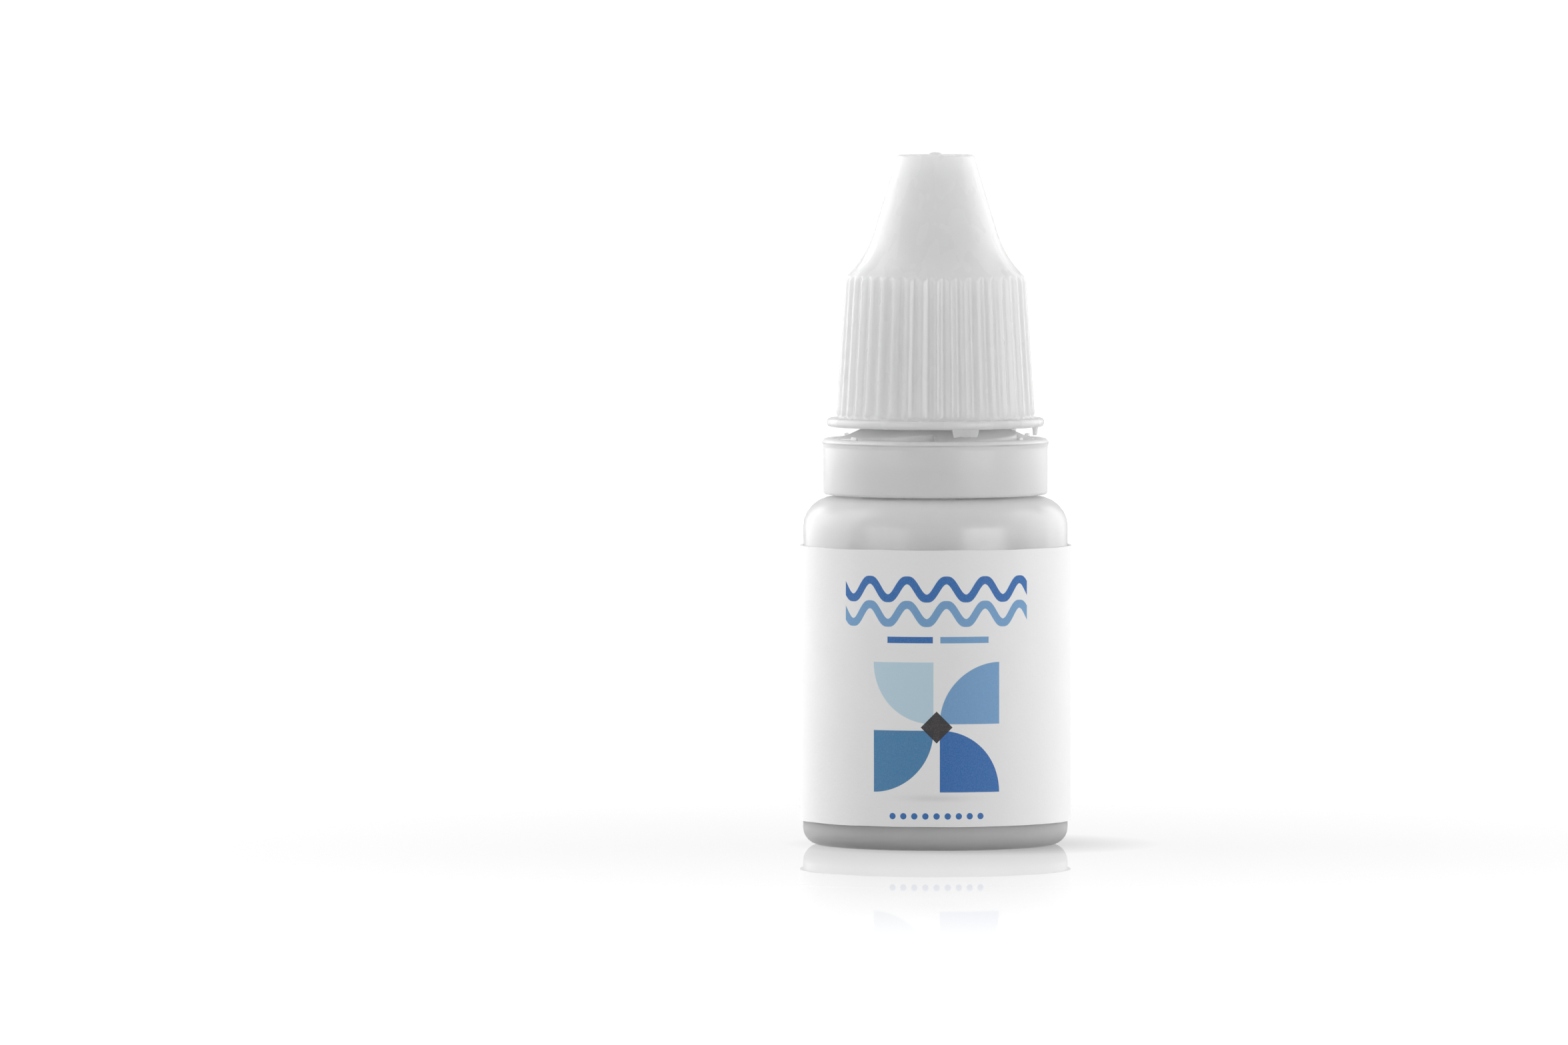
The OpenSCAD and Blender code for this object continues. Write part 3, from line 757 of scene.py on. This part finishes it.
class BOTTLE_OT_cap(bpy.types.Operator):
    """Build the ribbed screw cap with its cone, brim, thread and the torn bridges under its brim"""

    bl_idname = "eye_drop_bottle.cap"
    bl_label = "Cap"

    def execute(self, context):
        s = settings().cap
        brim_r = CAP_HIGH.x
        brim_top = s.brim_z + s.brim_t

        def cone_r(z):
            return s.top_r + (s.top_z - z) * math.tan(s.taper)

        # The flare runs from the ledge to the cone, and its round takes up nearly all of it
        lean, taper, used = s.flare_lean, s.taper, 0.97
        run = (s.ledge_r - cone_r(s.ledge_z)) / (math.sin(lean) - math.tan(taper) * math.cos(lean))
        flare_z = s.ledge_z + run * math.cos(lean)
        flare_r = used * run / math.tan((lean - taper) / 2)
        crown = s.wall / math.cos(taper)
        crown_z = flare_z + used * run * math.cos(taper)
        rise = (s.skirt_low_r - s.ledge_r) / (s.ledge_z - brim_top)

        def skirt_r(z):
            return s.skirt_low_r - (z - brim_top) * rise

        # Rows of points close under the ledge, and two above the brim, where the ribs' ends curve
        high_rows = [s.ledge_z - drop * MM for drop in (0.08, 0.18, 0.3, 0.42, 0.6)]
        low_rows = [brim_top + rise_mm * MM for rise_mm in (1.6, 0.9)]
        mouth = 0.65 * MM
        outline = [
            (0, s.top_z),
            (s.gate_r * 1.5, s.top_z),
            (s.gate_r * 2.6, s.top_z),
            (s.top_r, s.top_z, 0.35 * MM),
            (cone_r(flare_z), flare_z, flare_r),
            (s.ledge_r, s.ledge_z),
            *((skirt_r(z), z) for z in high_rows + low_rows),
            (s.skirt_low_r, brim_top, 0.45 * MM),
            (brim_r, brim_top, SOFT),
            (brim_r, s.brim_z, SOFT),
            (s.bore_r + mouth, s.brim_z, 0.1 * MM),
            (s.bore_r, s.brim_z + mouth, CRISP),
            (s.bore_r, s.bore_top, HOLLOW),
            (cone_r(crown_z) - crown, crown_z, 4 * MM),
            (cone_r(s.pocket_z - 2 * MM) - crown, s.pocket_z - 2.3 * MM),
            (s.pocket_r, s.pocket_z - 1.8 * MM),
            (s.pocket_r, s.pocket_z),
            (0, s.pocket_z),
        ]
        pitch = math.tau / s.ribs
        points = rounded(outline, steps=8)
        sector = spin_outline(points, steps=14, start=-math.pi / 2, sweep=pitch)
        end_slope, foot_h = 1.28, 0.5 * MM
        for v in sector.verts:
            across = math.hypot(v.co.x, v.co.y)
            z = v.co.z
            if across < skirt_r(z) - 0.05 * MM or not brim_top < z < s.ledge_z:
                continue
            turn = (math.atan2(v.co.y, v.co.x) + math.pi / 2) / pitch
            back = s.rib_h * (0.5 + 0.5 * math.cos(math.tau * turn)) ** 1.2
            end = (s.ledge_z - z) / end_slope
            height = back * end / (back**4 + end**4) ** 0.25 if end > 0 else 0
            fade = min(1, (z - brim_top) / foot_h)
            v.co.xy *= (across + height * fade * fade * (3 - 2 * fade)) / across
        # The thread lies under the neck's, a gap away from its steep flank
        depth = s.bore_r - s.crest_r + SINK
        bottle = settings().bottle
        gap, start, turns = 0.2 * MM, 0.2, 1.45
        top = -bottle.crest_w / 2 - STEEP * (bottle.crest_r - s.crest_r) - gap
        profile = [
            (s.crest_r + depth, top - bottle.crest_w - SLOPED * depth),
            (s.crest_r + depth, top + STEEP * depth),
            (s.crest_r, top, 0.1 * MM),
            (s.crest_r, top - bottle.crest_w, 0.1 * MM),
        ]
        ridge = wind_thread(
            rounded(profile, steps=2, closed=True),
            root_r=s.crest_r + depth,
            steps_per_turn=72,
            first_z=bottle.first_crest + start * bottle.lead,
            lead=bottle.lead,
            turns=turns,
        )
        first_turn = Matrix.Rotation(start * math.tau, 3, "Z")
        bmesh.ops.rotate(ridge, verts=ridge.verts, cent=(0, 0, 0), matrix=first_turn)
        gate_h = CAP_HIGH.z - s.top_z
        mound = [
            (s.gate_r * across, s.top_z + gate_h * up)
            for across, up in ((0, 1), (0.45, 0.9), (0.8, 0.55), (1, 0))
        ]
        mound.append((s.gate_r, s.top_z - 0.1 * MM))
        gate = spin_outline(mound, steps=28)
        for v in gate.verts:
            if v.co.z > s.top_z:
                v.co.z -= 0.5 * (v.co.z - s.top_z) * abs(noise.noise(v.co / (0.35 * MM)))
        # Torn bridges: the turn, the width in millimetres, and the share of the full reach
        reach = s.brim_z - CAP_LOW.z
        torn = ((16, 2.6, 1), (71, 0.6, 1), (132, 0.9, 1), (192, 0.7, 1), (252, 1.1, 0.3))
        tabs = [
            torn_bridge(turn, wide * MM, s.brim_z + 0.1 * MM, s.brim_z - share * reach)
            for turn, wide, share in torn
        ]
        bm = together([ring_of(sector, s.ribs), ridge, gate, *tabs])
        white = moulded("cap", settings().colours.cap)
        finished("cap_shell", bm, white, "cap_body", ["cap"], sharp=50)
        return {"FINISHED"}


class BOTTLE_OT_band(bpy.types.Operator):
    """Build the tamper band with its catch bead, ratchet lugs and the nibs that the bridges left"""

    bl_idname = "eye_drop_bottle.band"
    bl_label = "Tamper band"

    def execute(self, context):
        s = settings().band
        outer_r, low = BAND_HIGH.x - s.lip, BAND_LOW.z
        lip_z = s.top_z - s.lip_h
        outline = [
            (s.inner_r, low, CRISP),
            (outer_r, low, SOFT),
            (outer_r, lip_z - 2 * s.lip, 1 * MM),
            (outer_r + s.lip, lip_z + 3 * s.lip, 0.6 * MM),
            (outer_r + s.lip, s.top_z, 0.48 * MM),
            (s.inner_r, s.top_z, CRISP),
            (s.inner_r, s.catch_z),
            (s.catch_r, s.catch_z, CRISP),
            (s.catch_r, s.catch_z - s.catch_h / 2, SOFT),
            (s.inner_r, s.catch_z - s.catch_h),
        ]
        shapes = [spin_outline(rounded(outline, steps=5, closed=True), steps=192, closed=True)]
        reach = s.inner_r + SINK - s.lug_r
        lug_low = s.catch_z - SINK
        lug_high = s.top_z - s.lug_drop
        for k in range(s.lugs):
            place = (
                Matrix.Rotation(math.tau * k / s.lugs - s.lug_back, 4, "Z")
                @ Matrix.Translation((s.lug_r + reach / 2, 0, (lug_low + lug_high) / 2))
            )
            shapes.append(soft_block((reach, s.lug_w, lug_high - lug_low), place))
        # Torn bridges: the turn, and the width in millimetres
        torn = ((-51, 0.7), (53, 0.6), (118, 0.6), (178, 0.8), (238, 0.6))
        shapes += [
            torn_bridge(turn, wide * MM, s.top_z - 0.2 * MM, BAND_HIGH.z) for turn, wide in torn
        ]
        bm = together(shapes)
        white = moulded("band", settings().colours.cap)
        finished("band_ring", bm, white, "band_body", ["tamper_band"])
        return {"FINISHED"}


class BOTTLE_OT_label(bpy.types.Operator):
    """Wrap the printed paper label round the bottle, with its lap at the back"""

    bl_idname = "eye_drop_bottle.label"
    bl_label = "Label"

    def execute(self, context):
        s = settings().label
        under_r = BOTTLE_HIGH.x + 0.02 * MM
        low, high = LABEL_LOW.z, LABEL_HIGH.z
        rows, columns = 40, 300
        sweep = math.tau + s.lap
        start = s.lap_at - math.pi / 2 - math.tau
        points = [(under_r, low + (high - low) * k / rows) for k in range(rows + 1)]
        bm = spin_outline(points, columns, start=start, sweep=sweep)
        column = {v: i // (rows + 1) for i, v in enumerate(bm.verts)}
        mesh_uv = bm.loops.layers.uv.new("label")
        edge_curl, edge_wander = 0.06 * MM, 0.05 * MM
        for v in bm.verts:
            turn = sweep * column[v] / columns
            up = (v.co.z - low) / (high - low)
            lift = s.paper_t * min(1, max(0, (turn - math.tau + s.lap) / s.lap))
            spot = Vector((math.cos(turn) * 2.1, math.sin(turn) * 2.1, up * 2.3))
            ripple = s.ripple * max(0, noise.noise(spot) + 0.15)
            near_edge = (abs(up - 0.5) * 2) ** 8
            curl = edge_curl * max(0, noise.noise(spot * 1.7 + Vector((3, 1, 2)))) * near_edge
            v.co.xy *= 1 + (lift + ripple + curl) / under_r
            if abs(up - 0.5) > 0.45:
                row = 7 if up > 0.5 else 2
                v.co.z += edge_wander * noise.noise(Vector((turn * 3.1, row, 0)))
        for face in bm.faces:
            for loop in face.loops:
                turn = start + sweep * column[loop.vert] / columns
                u = (turn + math.pi / 2) / math.tau + 0.5
                loop[mesh_uv].uv = (u, (loop.vert.co.z - low) / (high - low))
        bmesh.ops.recalc_face_normals(bm, faces=bm.faces)
        if sum(f.normal.dot(f.calc_center_median()) for f in bm.faces) < 0:
            bmesh.ops.reverse_faces(bm, faces=bm.faces)
        bmesh.ops.solidify(bm, geom=list(bm.faces), thickness=-s.paper_t)
        paper_look = printed_paper(s, settings().colours)
        finished("label_paper", bm, paper_look, "bottle_body", ["label"], sharp=50)
        return {"FINISHED"}


class BOTTLE_OT_seal(bpy.types.Operator):
    """Give the seal plug in the cap's crown its soft white plastic"""

    bl_idname = "eye_drop_bottle.seal"
    bl_label = "Seal plug"

    def execute(self, context):
        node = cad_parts["cap_seal"]
        node.data.materials.clear()
        node.data.materials.append(moulded("seal", settings().colours.seal))
        return {"FINISHED"}


def soft_lamp(name, place, size, watts):
    """A rectangular soft lamp that faces the bottle."""
    data = bpy.data.lights.new(name, "AREA")
    data.shape = "RECTANGLE"
    data.size, data.size_y = size
    data.energy = watts
    lamp = bpy.data.objects.new(name, data)
    lamp.location = place
    lamp.rotation_euler = (Vector(LAMP_AIM) - Vector(place)).to_track_quat("-Z", "Y").to_euler()
    bpy.context.scene.collection.objects.link(lamp)


def white_surroundings(fill):
    """A world that looks white, and lights the bottle at the fill level."""
    world = bpy.data.worlds.new("white_surroundings")
    world.use_nodes = True
    tree = world.node_tree
    tree.nodes.clear()
    output = tree.nodes.new("ShaderNodeOutputWorld")
    path = tree.nodes.new("ShaderNodeLightPath")
    seen = tree.nodes.new("ShaderNodeMath")
    seen.operation = "MAXIMUM"
    tree.links.new(path.outputs["Is Camera Ray"], seen.inputs[0])
    tree.links.new(path.outputs["Is Transmission Ray"], seen.inputs[1])
    shown = tree.nodes.new("ShaderNodeMath")
    shown.operation = "MAXIMUM"
    tree.links.new(path.outputs["Is Glossy Ray"], shown.inputs[0])
    tree.links.new(seen.outputs[0], shown.inputs[1])
    level = tree.nodes.new("ShaderNodeMapRange")
    level.inputs["To Min"].default_value = fill
    level.inputs["To Max"].default_value = 1
    tree.links.new(shown.outputs[0], level.inputs["Value"])
    light = tree.nodes.new("ShaderNodeBackground")
    light.inputs["Color"].default_value = (1, 1, 1, 1)
    tree.links.new(level.outputs[0], light.inputs["Strength"])
    tree.links.new(light.outputs[0], output.inputs["Surface"])
    bpy.context.scene.world = world


def white_floor(mirror, fade):
    """A white floor that keeps the bottle's shadow, with a painted shadow round its foot, and
    mirrors its foot, less further away.
    """
    s = Surface("white_floor")
    spot = s.node("ShaderNodeTexCoord").outputs["Object"]
    far = s.node("ShaderNodeVectorMath", operation="LENGTH")
    s.feed(far.inputs[0], spot)
    matt = s.node("ShaderNodeBsdfDiffuse")
    tone = s.ramp(far.outputs["Value"], 0.02, 0.5, 0.08, 0.45)
    s.feed(matt.inputs["Color"], tone)
    lift = s.node("ShaderNodeEmission")
    path = s.node("ShaderNodeLightPath")
    seen = s.math("MAXIMUM", path.outputs["Is Camera Ray"], path.outputs["Is Glossy Ray"])
    # Painted shadow: the floor's emission is lower near a point 3.5 mm right of the axis, so a soft
    # shadow of the foot is painted into the floor, falling to the right
    from_painted_shadow = s.node("ShaderNodeVectorMath", operation="DISTANCE")
    s.feed(from_painted_shadow.inputs[0], spot)
    from_painted_shadow.inputs[1].default_value = (0.0035, 0, 0)
    soft = s.ramp(from_painted_shadow.outputs["Value"], 0.0085, 0.018, 0.6, 0.98)
    lost = s.ramp(far.outputs["Value"], 0.1, 0.5, 0.0, 0.04)
    s.feed(lift.inputs["Strength"], s.math("MULTIPLY", seen, s.math("ADD", soft, lost)))
    pale = s.node("ShaderNodeAddShader")
    s.feed(pale.inputs[0], matt.outputs[0])
    s.feed(pale.inputs[1], lift.outputs[0])
    gloss = s.node("ShaderNodeBsdfGlossy")
    gloss.inputs["Roughness"].default_value = 0.02
    share = s.ramp(far.outputs["Value"], 0.012, fade, mirror, 0.0)
    surface = s.node("ShaderNodeMixShader")
    s.feed(surface.inputs[0], s.math("MULTIPLY", share, path.outputs["Is Camera Ray"]))
    s.feed(surface.inputs[1], pale.outputs[0])
    s.feed(surface.inputs[2], gloss.outputs[0])
    s.feed(s.output.inputs["Surface"], surface.outputs[0])
    return s.material


class BOTTLE_OT_stage(bpy.types.Operator):
    """Set up the white floor, the soft lamps and the camera"""

    bl_idname = "eye_drop_bottle.stage"
    bl_label = "Stage"

    def execute(self, context):
        s = settings().stage
        scene = context.scene
        bm = bmesh.new()
        bmesh.ops.create_grid(bm, x_segments=1, y_segments=1, size=FLOOR_HALF)
        mesh = bpy.data.meshes.new("floor")
        bm.to_mesh(mesh)
        bm.free()
        mesh.materials.append(white_floor(s.mirror, s.mirror_fade))
        floor = bpy.data.objects.new("floor", mesh)
        scene.collection.objects.link(floor)
        for name, (place, size, watts) in LAMPS.items():
            soft_lamp(name, place, size, watts)
        white_surroundings(s.fill)
        data = bpy.data.cameras.new("camera")
        data.lens, data.sensor_width = s.focal_mm, 36
        data.clip_end = 100
        camera = bpy.data.objects.new("camera", data)
        camera.location = (-s.aim_left, -s.camera_distance, s.camera_height)
        aim = Vector((-s.aim_left, 0, s.aim_height))
        camera.rotation_euler = (aim - camera.location).to_track_quat("-Z", "Y").to_euler()
        scene.collection.objects.link(camera)
        scene.camera = camera
        scene.view_settings.view_transform = "Standard"
        return {"FINISHED"}


OPERATORS = (
    BOTTLE_OT_body,
    BOTTLE_OT_dropper,
    BOTTLE_OT_cap,
    BOTTLE_OT_seal,
    BOTTLE_OT_band,
    BOTTLE_OT_label,
    BOTTLE_OT_stage,
)


class BOTTLE_PT_panel(bpy.types.Panel):
    """Lists the pieces of the bottle"""

    bl_label = "Eye drop bottle"
    bl_idname = "BOTTLE_PT_panel"
    bl_space_type = "VIEW_3D"
    bl_region_type = "UI"
    bl_category = "Bottle"

    def draw(self, context):
        for operator in OPERATORS:
            self.layout.operator(operator.bl_idname)
        for group in Settings.__annotations__:
            box = self.layout.box()
            owner = getattr(settings(), group)
            for field in type(owner).__annotations__:
                box.prop(owner, field)


GROUPS = (BottleSizes, DropperSizes, CapSizes, BandSizes, LabelSizes, Colours, Stage, Settings)
CLASSES = (*GROUPS, *OPERATORS, BOTTLE_PT_panel)


def register():
    for each in CLASSES:
        bpy.utils.register_class(each)
    bpy.types.Scene.eye_drop_bottle = PointerProperty(type=Settings)


def unregister():
    del bpy.types.Scene.eye_drop_bottle
    for each in reversed(CLASSES):
        bpy.utils.unregister_class(each)


def main():
    register()
    bpy.ops.eye_drop_bottle.body()
    bpy.ops.eye_drop_bottle.dropper()
    bpy.ops.eye_drop_bottle.cap()
    bpy.ops.eye_drop_bottle.seal()
    bpy.ops.eye_drop_bottle.band()
    bpy.ops.eye_drop_bottle.label()
    bpy.ops.eye_drop_bottle.stage()


if __name__ == "__main__":
    main()
